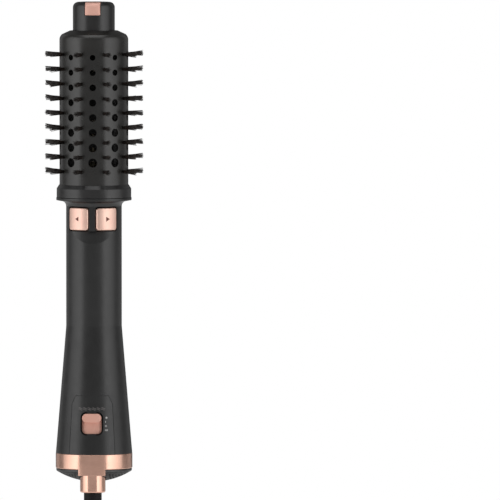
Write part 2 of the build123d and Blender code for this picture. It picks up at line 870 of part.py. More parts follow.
for side, name in ((-1, "button_left"), (1, "button_right")):
    with BuildPart() as button:
        revolve(
            cut_section(
                [
                    (grip_radius - wall - 1.5, button_z - 12),
                    (button_outer, button_z - 12),
                    (button_outer, button_z + 12),
                    (grip_radius - wall - 1.5, button_z + 12),
                ]
            ),
            axis=Axis.Z,
        )
        with BuildSketch(around(side * button_angle, button_z, 5.0)):
            RectangleRounded(button_width, button_height, 2.0)
        extrude(amount=20, mode=Mode.INTERSECT)
        crown_face = button.faces().sort_by(Axis(around(0, 0).origin, around(side * button_angle, 0).z_dir))[-1]
        chamfer(crown_face.edges(), 0.5)
        with BuildSketch(around(side * button_angle, button_z, 14.4)):
            Rectangle(4.0, 4.0)
        extrude(amount=4.0)
    save(button, name)

carrier_radius = 9.6
with BuildPart() as button_carrier:
    for side in (-1, 1):
        with BuildSketch(around(side * button_angle, button_z, carrier_radius - 1.6)):
            Rectangle(12.5, 14.0)
        extrude(amount=1.6)
    with BuildSketch(around(0, button_z, carrier_radius - 3.2)):
        Rectangle(6.0, 14.0)
    extrude(amount=2.8)
save(button_carrier, "button_carrier")

with BuildPart() as tact_switches:
    for side in (-1, 1):
        with BuildSketch(around(side * button_angle, button_z, carrier_radius)):
            Rectangle(6.0, 6.0)
        extrude(amount=2.8)
        with BuildSketch(around(side * button_angle, button_z, carrier_radius + 2.8)):
            Circle(1.6)
        extrude(amount=0.7)
save(tact_switches, "tact_switches")

# ================= cord, hank and plug =================

with BuildPart() as cord_boot:
    with BuildSketch(Plane.XZ):
        with BuildLine():
            Polyline(
                (0, outlet_bottom + 14.0),
                (0, boot_bottom),
                (cord_diameter / 2 + 0.6, boot_bottom),
                (boot_radius - 0.3, outlet_bottom - 6.5),
                (boot_radius, outlet_bottom - 5.5),
                (boot_radius, outlet_bottom + 11.3),
                (boot_radius + 1.2, outlet_bottom + 11.3),
                (boot_radius + 1.2, outlet_bottom + 14.0),
                close=True,
            )
        make_face()
    revolve(axis=Axis.Z)
    for groove in range(5):
        with BuildSketch(Plane.XY.offset(outlet_bottom - 8.0 - 4.0 * groove)):
            Circle(10)
            Circle(boot_radius - 1.5 - 0.27 * groove, mode=Mode.SUBTRACT)
        extrude(amount=1.4, mode=Mode.SUBTRACT)
cord_boot.part.locate(Location((0, outlet_y, 0)))
save(cord_boot, "cord_boot")

hank_top = boot_bottom - hank_below_boot
hank_half = hank_run / 2 + fold_radius + cord_diameter / 2
hank_middle = hank_top - hank_half
hank_bottom = hank_middle - hank_half
cord_route = [
    (0, outlet_y, boot_bottom),
    (0, outlet_y, boot_bottom - 11.0),
    (3.0, outlet_y - 4.5, boot_bottom - 23.0),
    (5.5, outlet_y - 8.5, hank_top),
]


def tube(route, diameter):
    """A round tube along straight runs joined by arcs as large as the runs allow."""
    points = [Vector(*p) for p in route]
    radii = []
    for before, here, after in zip(points, points[1:], points[2:]):
        turn_angle = math.radians((here - before).get_angle(after - here))
        run = min((here - before).length, (after - here).length)
        radii.append(0.45 * run / math.tan(turn_angle / 2))
    with BuildPart() as made:
        with BuildLine() as path:
            FilletPolyline(*points, radius=radii)
        with BuildSketch(Plane(origin=points[0], z_dir=points[1] - points[0])):
            Circle(diameter / 2)
        sweep(path=path.line)
    share = made.part.volume / (math.pi * diameter**2 / 4 * path.wires()[0].length)
    print("tube radii", [round(r, 1) for r in radii], "volume share", round(share, 4))
    return made


cord = tube(cord_route, cord_diameter)
save(cord, "cord")

with BuildPart() as cord_hank:
    with BuildSketch(Plane.XZ.offset(-outlet_y - hank_depth / 2)):
        with BuildLine():
            half_width = fold_radius + cord_diameter / 2
            upper_half = [
                (0, hank_half),
                (9.0, hank_half),
                (17.5, hank_half - 6.0),
                (half_width, hank_half - 16.0),
                (half_width, hank_half - 32.0),
                (hank_waist + 4.5, 18.0),
                (hank_waist, 5.0),
                (hank_waist, 0),
            ]
            outline = [(x, hank_middle + z) for x, z in upper_half]
            outline += [(x, hank_middle - z) for x, z in reversed(upper_half[:-1])]
            Polyline(*outline)
            Polyline(*[(-x, z) for x, z in outline])
        make_face()
    extrude(amount=hank_depth)
save(cord_hank, "cord_hank")

with BuildPart() as cord_tie:
    with BuildSketch(Plane.XY.offset(hank_middle - 5.0)):
        with Locations((0, outlet_y)):
            RectangleRounded(2 * hank_waist + 5.0, hank_depth + 3.4, 3.0)
            RectangleRounded(2 * hank_waist + 2.2, hank_depth + 0.4, 1.5, mode=Mode.SUBTRACT)
    extrude(amount=10.0)
save(cord_tie, "cord_tie")

plug_x, plug_y = 13.0, outlet_y + 16.0
plug_top = hank_bottom
plug_face = plug_top - 38.0
with BuildPart() as plug_body:
    with BuildSketch(Plane.XY.offset(plug_top)):
        with Locations((plug_x, plug_y)):
            Circle(4.2)
    with BuildSketch(Plane.XY.offset(plug_top - 16.0)):
        with Locations((plug_x, plug_y)):
            Ellipse(7.0, 6.0)
    with BuildSketch(Plane.XY.offset(plug_top - 26.0)):
        with Locations((plug_x, plug_y)):
            Ellipse(15.5, 10.5)
    with BuildSketch(Plane.XY.offset(plug_face)):
        with Locations((plug_x, plug_y)):
            Ellipse(17.5, 13.0)
    loft()
save(plug_body, "plug_body")

pin_radius, pin_length, pin_spacing = 2.4, 19.0, 19.0
with BuildPart() as plug_pins:
    with BuildSketch(Plane.XY.offset(plug_face)):
        with Locations((plug_x, plug_y)):
            with GridLocations(pin_spacing, 1, 2, 1):
                Circle(pin_radius)
    extrude(amount=-pin_length)
    tips = plug_pins.faces().sort_by(Axis.Z)[:2].edges()
    fillet(tips, 1.2)
save(plug_pins, "plug_pins")
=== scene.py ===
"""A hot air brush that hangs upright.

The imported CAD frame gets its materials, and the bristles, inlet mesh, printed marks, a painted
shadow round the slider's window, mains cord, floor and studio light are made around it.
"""
import math
import random

import bmesh
import bpy
from mathutils import Matrix, Vector


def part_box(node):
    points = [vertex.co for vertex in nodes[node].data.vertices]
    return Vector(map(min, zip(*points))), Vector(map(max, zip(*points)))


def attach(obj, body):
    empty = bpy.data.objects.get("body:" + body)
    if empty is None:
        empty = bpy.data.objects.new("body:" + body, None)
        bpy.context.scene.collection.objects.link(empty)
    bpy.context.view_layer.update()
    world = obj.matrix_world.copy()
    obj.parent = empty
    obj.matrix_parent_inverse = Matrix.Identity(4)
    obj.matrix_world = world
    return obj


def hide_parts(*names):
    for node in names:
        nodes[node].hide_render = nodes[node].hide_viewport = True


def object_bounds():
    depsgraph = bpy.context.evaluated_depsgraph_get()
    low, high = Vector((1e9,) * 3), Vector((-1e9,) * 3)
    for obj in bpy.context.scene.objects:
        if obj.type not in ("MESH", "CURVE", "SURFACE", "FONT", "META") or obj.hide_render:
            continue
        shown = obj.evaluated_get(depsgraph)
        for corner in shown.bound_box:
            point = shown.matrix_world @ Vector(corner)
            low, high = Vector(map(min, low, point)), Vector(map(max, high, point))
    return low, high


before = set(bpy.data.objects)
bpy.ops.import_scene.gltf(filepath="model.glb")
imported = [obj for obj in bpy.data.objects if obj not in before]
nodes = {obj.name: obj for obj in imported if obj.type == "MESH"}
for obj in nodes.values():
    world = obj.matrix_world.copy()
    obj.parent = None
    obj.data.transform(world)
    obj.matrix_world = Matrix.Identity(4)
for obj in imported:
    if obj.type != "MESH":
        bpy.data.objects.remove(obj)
cad_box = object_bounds()
scene = bpy.context.scene
MM = 0.001

# ---------------------------------------------------------------- places taken from the frame
boot_low, boot_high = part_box("cord_boot")
hank_low, hank_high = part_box("cord_hank")
plug_low, plug_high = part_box("plug_body")
pins_low, pins_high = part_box("plug_pins")
outlet = Vector((0, (boot_low.y + boot_high.y) / 2, boot_low.z))
plug_top = Vector(((plug_low.x + plug_high.x) / 2, (plug_low.y + plug_high.y) / 2, plug_high.z))
hank_centre = Vector((0, outlet.y, (hank_low.z + hank_high.z) / 2))
RING_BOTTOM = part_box("inlet_dome")[1].z
BARREL_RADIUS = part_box("barrel")[1].x
GRIP_RADIUS = 20.3 * MM
OUTLET_RADIUS = 9.25 * MM

# ---------------------------------------------------------------- camera
# A long lens from nearly straight ahead; the object stands to the left of the middle of the frame.
CAMERA_TURN = math.radians(3.1)
CAMERA_RISE = math.radians(2.85)
CAMERA_AWAY = 10.0
SENSOR_WIDTH = 36
FRAME_WIDTH = 0.365  # metres across the picture at the object
AIM_RIGHT = 0.1139
AIM_HEIGHT = 0.0191

view_back = Vector(
    (
        math.sin(CAMERA_TURN) * math.cos(CAMERA_RISE),
        -math.cos(CAMERA_TURN) * math.cos(CAMERA_RISE),
        math.sin(CAMERA_RISE),
    )
)
view_right = Vector((math.cos(CAMERA_TURN), math.sin(CAMERA_TURN), 0))
camera_data = bpy.data.cameras.new("camera")
camera_data.sensor_width = SENSOR_WIDTH
camera_data.lens = SENSOR_WIDTH * CAMERA_AWAY / FRAME_WIDTH
camera_data.clip_end = 100
camera = bpy.data.objects.new("camera", camera_data)
scene.collection.objects.link(camera)
aim = Vector((0, 0, AIM_HEIGHT)) + AIM_RIGHT * view_right
camera.location = aim + CAMERA_AWAY * view_back
camera.rotation_euler = view_back.to_track_quat("Z", "Y").to_euler()
scene.camera = camera


# ---------------------------------------------------------------- materials
# The mix node has sockets of the same names for numbers, vectors and colours; these are the colour ones.
MIX_FIRST, MIX_SECOND, MIX_COLOUR = 6, 7, 2


class Nodes:
    """A short way to build a material's node tree."""

    def __init__(self, name):
        self.material = bpy.data.materials.new(name)
        self.material.use_nodes = True
        self.tree = self.material.node_tree
        self.shader = self.tree.nodes["Principled BSDF"]

    def add(self, kind, **values):
        """Add a node with its settings."""
        node = self.tree.nodes.new(kind)
        for key, value in values.items():
            setattr(node, key, value)
        return node

    def join(self, start, end):
        """Link an output to an input."""
        self.tree.links.new(start, end)

    def place(self):
        """The position on the object, in metres."""
        return self.add("ShaderNodeTexCoord").outputs["Object"]

    def noise(self, scale, detail=3.0, roughness=0.5, stretch=None):
        """A value that varies over the object, drawn out along an axis where stretch is small."""
        texture = self.add("ShaderNodeTexNoise")
        texture.inputs["Scale"].default_value = scale
        texture.inputs["Detail"].default_value = detail
        texture.inputs["Roughness"].default_value = roughness
        if stretch:
            mapping = self.add("ShaderNodeMapping")
            mapping.inputs["Scale"].default_value = stretch
            self.join(self.place(), mapping.inputs["Vector"])
            self.join(mapping.outputs["Vector"], texture.inputs["Vector"])
        else:
            self.join(self.place(), texture.inputs["Vector"])
        return texture.outputs["Fac"]

    def spread(self, value, low, high, from_low=0.3, from_high=0.7):
        """Map a value to a range."""
        remap = self.add("ShaderNodeMapRange")
        self.join(value, remap.inputs["Value"])
        remap.inputs["From Min"].default_value = from_low
        remap.inputs["From Max"].default_value = from_high
        remap.inputs["To Min"].default_value = low
        remap.inputs["To Max"].default_value = high
        return remap.outputs["Result"]

    def mix(self, amount, first, second):
        """Blend two colours by a value."""
        blend = self.add("ShaderNodeMix", data_type="RGBA")
        self.join(amount, blend.inputs["Factor"])
        blend.inputs[MIX_FIRST].default_value = (*first, 1)
        blend.inputs[MIX_SECOND].default_value = (*second, 1)
        return blend.outputs[MIX_COLOUR]

    def bump(self, height, distance, strength=1.0):
        """A bump node from a height value; its own Normal input is still free."""
        node = self.add("ShaderNodeBump")
        node.inputs["Distance"].default_value = distance
        node.inputs["Strength"].default_value = strength
        self.join(height, node.inputs["Height"])
        return node

    def edge(self, radius, samples=6):
        """A normal that rounds sharp edges over a small radius."""
        node = self.add("ShaderNodeBevel", samples=samples)
        node.inputs["Radius"].default_value = radius
        return node.outputs["Normal"]


def grey(level):
    """A neutral colour."""
    return (level, level, level)


def plastic(name, dark, light, rough, grain_scale, grain, edge=0.0, coat=0.0, specular=0.5):
    """A moulded plastic with a slow change of gloss; grain depth and rounded edges are in millimetres."""
    look = Nodes(name)
    look.join(look.mix(look.spread(look.noise(55, 4), 0, 1), dark, light), look.shader.inputs["Base Color"])
    gloss = look.spread(look.noise(140, 5, 0.6), rough - 0.04, rough + 0.05)
    look.join(gloss, look.shader.inputs["Roughness"])
    bump = look.bump(look.noise(grain_scale, 2), grain * MM)
    if edge:
        look.join(look.edge(edge * MM), bump.inputs["Normal"])
    look.join(bump.outputs["Normal"], look.shader.inputs["Normal"])
    look.shader.inputs["Coat Weight"].default_value = coat
    look.shader.inputs["Coat Roughness"].default_value = 0.25
    look.shader.inputs["Specular IOR Level"].default_value = specular
    return look.material


def plated(name, dark, light, rough, edge, brushed=None, metallic=1.0):
    """A metallised plastic with a faint haze and fine handling marks, or with brushed lines."""
    look = Nodes(name)
    look.shader.inputs["Metallic"].default_value = metallic
    look.join(look.mix(look.spread(look.noise(70, 4), 0, 1), dark, light), look.shader.inputs["Base Color"])
    if brushed:
        lines = look.noise(900, 3, 0.6, stretch=brushed)
        gloss = look.spread(lines, rough - 0.05, rough + 0.09)
        bump = look.bump(lines, 0.02 * MM, 0.5)
    else:
        gloss = look.spread(look.noise(160, 5, 0.65), rough - 0.03, rough + 0.05)
        bump = look.bump(look.noise(420, 2), 0.012 * MM, 0.6)
    look.join(gloss, look.shader.inputs["Roughness"])
    look.join(look.edge(edge * MM), bump.inputs["Normal"])
    look.join(bump.outputs["Normal"], look.shader.inputs["Normal"])
    return look.material


def filament():
    """Nylon bristle: black with a brown cast, changing from tuft to tuft."""
    look = Nodes("bristle")
    black, brown = (0.004, 0.003, 0.003), (0.03, 0.019, 0.014)
    colour = look.mix(look.spread(look.noise(260, 2), 0, 1), black, brown)
    look.join(colour, look.shader.inputs["Base Color"])
    look.join(look.spread(look.noise(500, 2), 0.3, 0.48), look.shader.inputs["Roughness"])
    return look.material


def steel(name, colour, rough):
    """A bare metal with a changing tone and upright drawing lines."""
    look = Nodes(name)
    look.shader.inputs["Metallic"].default_value = 1.0
    darker = tuple(0.72 * channel for channel in colour)
    tone = look.mix(look.spread(look.noise(90, 4), 0, 1), darker, colour)
    look.join(tone, look.shader.inputs["Base Color"])
    lines = look.noise(700, 3, 0.6, stretch=(1, 1, 0.05))
    look.join(look.spread(lines, rough - 0.06, rough + 0.1), look.shader.inputs["Roughness"])
    return look.material


def woven(name, dark, light):
    """Hook-and-loop tape: a fine weave with soft fibres."""
    look = Nodes(name)
    wave = look.add("ShaderNodeTexWave", wave_type="BANDS", bands_direction="DIAGONAL")
    wave.inputs["Scale"].default_value = 900
    wave.inputs["Distortion"].default_value = 1.5
    look.join(look.place(), wave.inputs["Vector"])
    look.join(look.mix(wave.outputs["Fac"], dark, light), look.shader.inputs["Base Color"])
    look.join(look.spread(look.noise(900, 2), 0.75, 0.95), look.shader.inputs["Roughness"])
    look.join(look.bump(wave.outputs["Fac"], 0.15 * MM).outputs["Normal"], look.shader.inputs["Normal"])
    look.shader.inputs["Sheen Weight"].default_value = 0.3
    return look.material


# Each plastic: dark and light colour, roughness, grain scale, grain depth and edge radius in mm, then coat.
grip_black = plastic("grip_black", grey(0.004), grey(0.007), 0.36, 1800, 0.012, 0.3, specular=0.75)
head_black = plastic("head_black", grey(0.004), (0.008, 0.007, 0.007), 0.33, 1500, 0.01, 0.4, specular=0.75)
barrel_black = plastic(
    "barrel_black", (0.009, 0.008, 0.007), (0.016, 0.015, 0.013), 0.3, 1100, 0.014, 0.3, 0.15, specular=0.65
)
mesh_black = plastic("mesh_black", grey(0.008), grey(0.014), 0.55, 900, 0.02)
rim_black = plastic("rim_black", grey(0.02), grey(0.03), 0.35, 900, 0.01, specular=0.8)
rubber_black = plastic(
    "rubber_black", grey(0.003), (0.007, 0.006, 0.006), 0.6, 700, 0.03, 0.3, specular=0.25
)
cord_skin = plastic("cord_skin", grey(0.008), grey(0.014), 0.45, 600, 0.02)
core_dark = plastic("core_dark", grey(0.004), (0.010, 0.009, 0.008), 0.65, 600, 0.04)
nylon_white = plastic("nylon_white", (0.7, 0.69, 0.64), (0.8, 0.79, 0.74), 0.42, 700, 0.02, 0.2)
foam_black = plastic("foam_black", grey(0.01), grey(0.03), 0.9, 2500, 0.3)
board_green = plastic("board_green", (0.015, 0.10, 0.04), (0.02, 0.16, 0.07), 0.35, 900, 0.02)
component_dark = plastic("component_dark", (0.01, 0.01, 0.012), (0.03, 0.03, 0.035), 0.45, 900, 0.02, 0.2)
mica_sheet = plastic("mica_sheet", (0.42, 0.34, 0.22), (0.58, 0.5, 0.36), 0.5, 400, 0.04)
mark_grey = plastic("mark_grey", (0.45, 0.44, 0.43), (0.55, 0.54, 0.53), 0.5, 900, 0.005)
print_grey = plastic("print_grey", (0.16, 0.15, 0.145), (0.22, 0.2, 0.2), 0.5, 900, 0.005)
arrow_brown = plastic("arrow_brown", (0.13, 0.035, 0.018), (0.18, 0.05, 0.028), 0.45, 900, 0.005)
# Near-black matt finish for the frame round the slider's window: painted shadow for the shade in the gap at
# the window's edge.
painted_shadow_black = plastic("painted_shadow_black", grey(0.002), (0.004, 0.003, 0.003), 0.8, 900, 0.01, specular=0.1)
sleeve_black = plastic("sleeve_black", grey(0.02), grey(0.03), 0.4, 900, 0.01)

# Each plated plastic: dark and light colour, roughness, edge radius in mm, then the stretch of its brushing.
ring_gold = plated("ring_gold", (0.84, 0.50, 0.385), (0.9, 0.55, 0.425), 0.2, 0.4)
button_gold = plated("button_gold", (0.94, 0.6, 0.5), (0.97, 0.67, 0.55), 0.36, 0.5, metallic=0.8)
tab_gold = plated("tab_gold", (0.9, 0.5, 0.4), (0.95, 0.56, 0.46), 0.45, 0.3, (1, 1, 0.03), metallic=0.35)
slider_gold = plated(
    "slider_gold", (0.86, 0.45, 0.35), (0.92, 0.52, 0.42), 0.42, 0.5, (0.04, 1, 1), metallic=0.4
)
drawn_steel = steel("drawn_steel", (0.62, 0.61, 0.6), 0.35)
black_steel = steel("black_steel", grey(0.12), 0.4)
heater_wire = steel("heater_wire", (0.4, 0.37, 0.33), 0.5)
nickel = steel("nickel", (0.78, 0.76, 0.72), 0.18)
bristle = filament()
tie_tape = woven("tie_tape", grey(0.006), grey(0.03))

finishes = {
    grip_black: ["front_shell", "rear_shell", "switch_panel", "handle_plate"],
    head_black: ["collar", "end_cap", "head_spider"],
    barrel_black: ["barrel"],
    mesh_black: ["inlet_dome"],
    rubber_black: ["cord_boot", "cord_clamp", "fan_housing", "drive_gearbox", "button_carrier", "plug_body"],
    cord_skin: ["cord", "cord_hank"],
    core_dark: ["core_tube"],
    nylon_white: ["fan_impeller", "drive_pinion", "drive_ring", "tip_hub"],
    foam_black: ["inlet_filter"],
    board_green: ["power_board"],
    component_dark: ["board_parts", "slide_switch", "thermostat", "tact_switches"],
    mica_sheet: ["heater_frame"],
    heater_wire: ["heater_windings"],
    ring_gold: ["tail_ring"],
    button_gold: ["button_left", "button_right"],
    tab_gold: ["front_tab", "rear_tab"],
    slider_gold: ["speed_slider"],
    drawn_steel: ["fan_motor", "fan_shaft", "drive_motor", "pinion_shaft", "hub_clip", "tab_spring"],
    black_steel: ["shell_screws"],
    nickel: ["plug_pins"],
    tie_tape: ["cord_tie"],
}
for material, names in finishes.items():
    for name in names:
        for place in nodes[name].material_slots:
            place.material = material


# ---------------------------------------------------------------- mesh helpers
def piece(name, verts, faces, material, smooth=True):
    """A mesh object with one material."""
    mesh = bpy.data.meshes.new(name)
    mesh.from_pydata(verts, [], faces)
    mesh.validate()
    mesh.update()
    made = bmesh.new()
    made.from_mesh(mesh)
    bmesh.ops.recalc_face_normals(made, faces=made.faces)
    made.to_mesh(mesh)
    made.free()
    for face in mesh.polygons:
        face.use_smooth = smooth
    mesh.materials.append(material)
    obj = bpy.data.objects.new(name, mesh)
    scene.collection.objects.link(obj)
    return obj


def outward(angle):
    """The unit vector at an angle in degrees from the front towards +X."""
    turn = math.radians(angle)
    return Vector((math.sin(turn), -math.cos(turn), 0))


def tube(points, radii, sides, verts, faces):
    """Add a closed tube along a few points to lists of corners and faces."""
    start = len(verts)
    for k, (point, radius) in enumerate(zip(points, radii)):
        ahead = points[min(k + 1, len(points) - 1)] - points[max(k - 1, 0)]
        side = ahead.orthogonal().normalized()
        other = ahead.normalized().cross(side)
        for step in range(sides):
            turn = 2 * math.pi * step / sides
            verts.append(point + radius * (math.cos(turn) * side + math.sin(turn) * other))
    for k in range(len(points) - 1):
        for step in range(sides):
            following = (step + 1) % sides
            a, b = start + k * sides, start + (k + 1) * sides
            faces.append((a + step, a + following, b + following, b + step))
    faces.append(tuple(range(start + sides - 1, start - 1, -1)))
    last = start + (len(points) - 1) * sides
    faces.append(tuple(range(last, last + sides)))


def lathe(profile, centre, squash, verts, faces, steps=48):
    """Add a closed outline of (radius, height) turned round an upright axis; squash flattens it along Y."""
    start, count = len(verts), len(profile)
    for step in range(steps):
        turn = 2 * math.pi * step / steps
        for radius, height in profile:
            x, y = radius * math.cos(turn), squash * radius * math.sin(turn)
            verts.append(centre + Vector((x, y, height)))
    for step in range(steps):
        here, there = start + step * count, start + (step + 1) % steps * count
        for k in range(count):
            following = (k + 1) % count
            faces.append((here + k, there + k, there + following, here + following))


# ---------------------------------------------------------------- cord and plug
CORD_DIAMETER = 7 * MM
FOLD_RADIUS = 21 * MM
FOLD_POINTS = 4
WAIST = 7.5 * MM  # half the width between the two sides, at the tie
LAYER = CORD_DIAMETER
RIGHT_STRANDS = 6
RUN_HALF = 52.5 * MM
STRAND_STEPS = (-1.0, -0.62, -0.25, 0.12, 0.5, 0.82)


def strand(side, layer, goes_down):
    """Points of one straight stretch of the hank, drawn in where the tie holds it."""
    points = []
    for step in STRAND_STEPS:
        height = -step * RUN_HALF if goes_down else step * RUN_HALF
        open_share = min(1.0, abs(height) / RUN_HALF)
        ease = open_share * open_share * (3 - 2 * open_share)
        points.append((side * (WAIST + (FOLD_RADIUS - WAIST) * ease), layer, height))
    return points


def fold(side, layer, next_layer, upward):
    """Points of one end loop, from one side of the hank to the other."""
    points = []
    reach = FOLD_RADIUS / math.cos(math.pi / (2 * FOLD_POINTS))
    for k in range(FOLD_POINTS):
        share = (k + 0.5) / FOLD_POINTS
        height = RUN_HALF + reach * math.sin(math.pi * share)
        depth = layer + (next_layer - layer) * share
        points.append((side * reach * math.cos(math.pi * share), depth, height if upward else -height))
    return points


def hank_points():
    """The whole hank as one list of points about its middle, slightly uneven towards its ends."""
    uneven = random.Random(7)
    first = -LAYER * (RIGHT_STRANDS - 1) / 2
    points = []
    for k in range(RIGHT_STRANDS):
        layer = first + LAYER * k
        points += strand(1, layer, True)
        if k < RIGHT_STRANDS - 1:
            between = layer + LAYER / 2
            points += fold(1, layer, between, False)
            points += strand(-1, between, False)
            points += fold(-1, between, layer + LAYER, True)
    points[0] = (9 * MM, points[0][1] * 0.72, RUN_HALF + 4 * MM)
    spread = 0.6 * MM
    placed = []
    for x, y, z in points:
        aside, along = uneven.uniform(-spread, spread), uneven.uniform(-spread, spread)
        placed.append((x + aside, y, z + along * (abs(z) > 0.6 * RUN_HALF)))
    return placed


lead = [
    (0, outlet.y, outlet.z),
    (0, outlet.y, outlet.z - 11 * MM),
    (3.0 * MM, outlet.y - 4.5 * MM, outlet.z - 23 * MM),
    (5.5 * MM, outlet.y - 8.5 * MM, outlet.z - 34 * MM),
]
tail = [
    (plug_top.x + 1.0 * MM, plug_top.y + 1.2 * MM, plug_top.z + 16 * MM),
    (plug_top.x, plug_top.y, plug_top.z + 6 * MM),
    (plug_top.x, plug_top.y, plug_top.z - 4 * MM),
]
route = lead + [tuple(hank_centre + Vector(point)) for point in hank_points()] + tail

curve = bpy.data.curves.new("mains_cord", "CURVE")
curve.dimensions = "3D"
curve.bevel_depth = CORD_DIAMETER / 2
curve.bevel_resolution = 5
curve.resolution_u = 6
curve.use_fill_caps = True
spline = curve.splines.new("NURBS")
spline.points.add(len(route) - 1)
for control, place in zip(spline.points, route):
    control.co = (*place, 1)
spline.order_u = 3
spline.use_endpoint_u = True
mains_cord = bpy.data.objects.new("mains_cord", curve)
scene.collection.objects.link(mains_cord)
curve.materials.append(cord_skin)
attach(mains_cord, "cord_swivel")
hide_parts("cord", "cord_hank")


def make_plug_ribs(count=5, first=2.6 * MM, pitch=2.7 * MM, neck=4.4 * MM, flare=0.17, thick=0.75 * MM):
    """Round grip ribs on the plug's neck, which widens and flattens downwards."""
    verts, faces = [], []
    for k in range(count):
        depth = first + pitch * k
        radius = neck + flare * depth
        turns = [math.radians(45 * n) for n in range(8)]
        rib = [(radius + thick * math.cos(turn), thick * math.sin(turn)) for turn in turns]
        lathe(rib, plug_top - Vector((0, 0, depth)), 0.97 - 0.012 * k, verts, faces)
    return piece("plug_ribs", verts, faces, rubber_black)


def make_pin_sleeves(pin_radius=2.4 * MM, inner=2.3 * MM, outer=2.5 * MM, length=8.2 * MM, sunk=0.2 * MM):
    """Insulating sleeves on the upper part of the pins."""
    verts, faces = [], []
    lip, corner = length - 0.2 * MM, length - 0.5 * MM
    sleeve = [(inner, sunk), (inner, -length), (outer - 0.04 * MM, -lip), (outer, -corner), (outer, sunk)]
    for x in (pins_low.x + pin_radius, pins_high.x - pin_radius):
        lathe(sleeve, Vector((x, plug_top.y, pins_high.z)), 1.0, verts, faces, 32)
    return piece("pin_sleeves", verts, faces, sleeve_black)


def make_tie_end(half_thick=0.45, half_width=5):
    """The loose end of the tie, standing a little off its side; measures are in millimetres."""
    path = [(13.6, -15), (13.75, -9), (13.9, -3), (14.2, 2), (15.1, 6), (16.4, 9.5), (17.8, 12)]
    verts, faces = [], []
    for k, (x, y) in enumerate(path):
        ahead = path[min(k + 1, len(path) - 1)]
        behind = path[max(k - 1, 0)]
        away = Vector((ahead[1] - behind[1], behind[0] - ahead[0], 0)).normalized() * half_thick
        for face, end in ((-1, -1), (1, -1), (1, 1), (-1, 1)):
            corner = Vector((x + face * away.x, y + face * away.y, end * half_width))
            verts.append(hank_centre + corner * MM)
    for k in range(len(path) - 1):
        a, b = 4 * k, 4 * k + 4
        for edge in range(4):
            following = (edge + 1) % 4
            faces.append((a + edge, a + following, b + following, b + edge))
    last = 4 * (len(path) - 1)
    faces += [(3, 2, 1, 0), (last, last + 1, last + 2, last + 3)]
    return piece("tie_end", verts, faces, tie_tape)


plug_ribs = make_plug_ribs()
pin_sleeves = make_pin_sleeves()
tie_end = make_tie_end()
for part, slot in ((plug_ribs, "cord_black"), (pin_sleeves, "cord_black"), (tie_end, "tie_black")):
    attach(part, "cord_swivel")

# ---------------------------------------------------------------- bristle tufts
TUFT_ROWS, TUFT_COLUMNS = 9, 9
FIRST_TUFT, TUFT_PITCH = RING_BOTTOM + 216.9 * MM, 10.68 * MM
TUFT_OFFSET = 21.7  # degrees from the front to the first column
TUFT_TIP = 36.4 * MM
ROOT_SPREAD, TIP_SPREAD = 1.0 * MM, 2.25 * MM
ROOT_SUNK = 1.2 * MM
MOST_LEAN, SHORTEST = 0.5 * MM, 0.9 * MM
FILAMENTS, FILAMENT_SIDES = 26, 5
FILAMENT_RADII = (0.22 * MM, 0.21 * MM, 0.15 * MM)
SUNFLOWER = math.radians(137.5)  # spaces the filaments evenly over the root's disc


def tuft(draw, seat, out, verts, faces):
    """One bundle of filaments that spreads a little from its root to its tip."""
    across = Vector((-out.y, out.x, 0))
    up = Vector((0, 0, 1))
    lean = draw.uniform(-MOST_LEAN, MOST_LEAN) * across
    lean += draw.uniform(-MOST_LEAN, MOST_LEAN) * up
    for k in range(FILAMENTS):
        way = math.cos(k * SUNFLOWER) * across + math.sin(k * SUNFLOWER) * up
        share = math.sqrt((k + 0.5) / FILAMENTS)
        root = ROOT_SPREAD * share
        tip = TIP_SPREAD * share * draw.uniform(0.75, 1.1)
        length = TUFT_TIP - BARREL_RADIUS - draw.uniform(0, SHORTEST)
        base = seat - ROOT_SUNK * out + root * way
        middle = seat + 0.5 * length * out + (0.42 * tip + 0.58 * root) * way + 0.3 * lean
        end = seat + length * out + tip * way + lean
        tube([base, middle, end], FILAMENT_RADII, FILAMENT_SIDES, verts, faces)


for column in range(TUFT_COLUMNS):
    draw = random.Random(100 + column)
    out = outward(TUFT_OFFSET + 360 / TUFT_COLUMNS * column)
    verts, faces = [], []
    for row in range(TUFT_ROWS):
        seat = BARREL_RADIUS * out + Vector((0, 0, FIRST_TUFT + TUFT_PITCH * row))
        tuft(draw, seat, out, verts, faces)
    name = "tuft_column_" + str(column + 1)
    brush = piece("filaments_" + str(column + 1), verts, faces, bristle)
    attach(brush, "brush_head")
    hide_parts(name)

# ---------------------------------------------------------------- perforated inlet dome
DOME_RADIUS, DOME_EDGE, DOME_DEPTH = 27.5 * MM, -2.0 * MM, 8.0 * MM
CELL, CELL_HOLE = 2.1 * MM, 0.68 * MM
MESH_THICK = 1.0 * MM
WELD = 0.02 * MM
dome_ball = (DOME_RADIUS * DOME_RADIUS + DOME_DEPTH * DOME_DEPTH) / (2 * DOME_DEPTH)


def on_dome(x, y):
    """A point of the dome's outer face, held inside its rim."""
    away = math.hypot(x, y)
    if away > DOME_RADIUS:
        x, y, away = x * DOME_RADIUS / away, y * DOME_RADIUS / away, DOME_RADIUS
    drop = DOME_DEPTH - dome_ball + math.sqrt(dome_ball * dome_ball - away * away)
    return Vector((x, y, RING_BOTTOM + DOME_EDGE - drop))


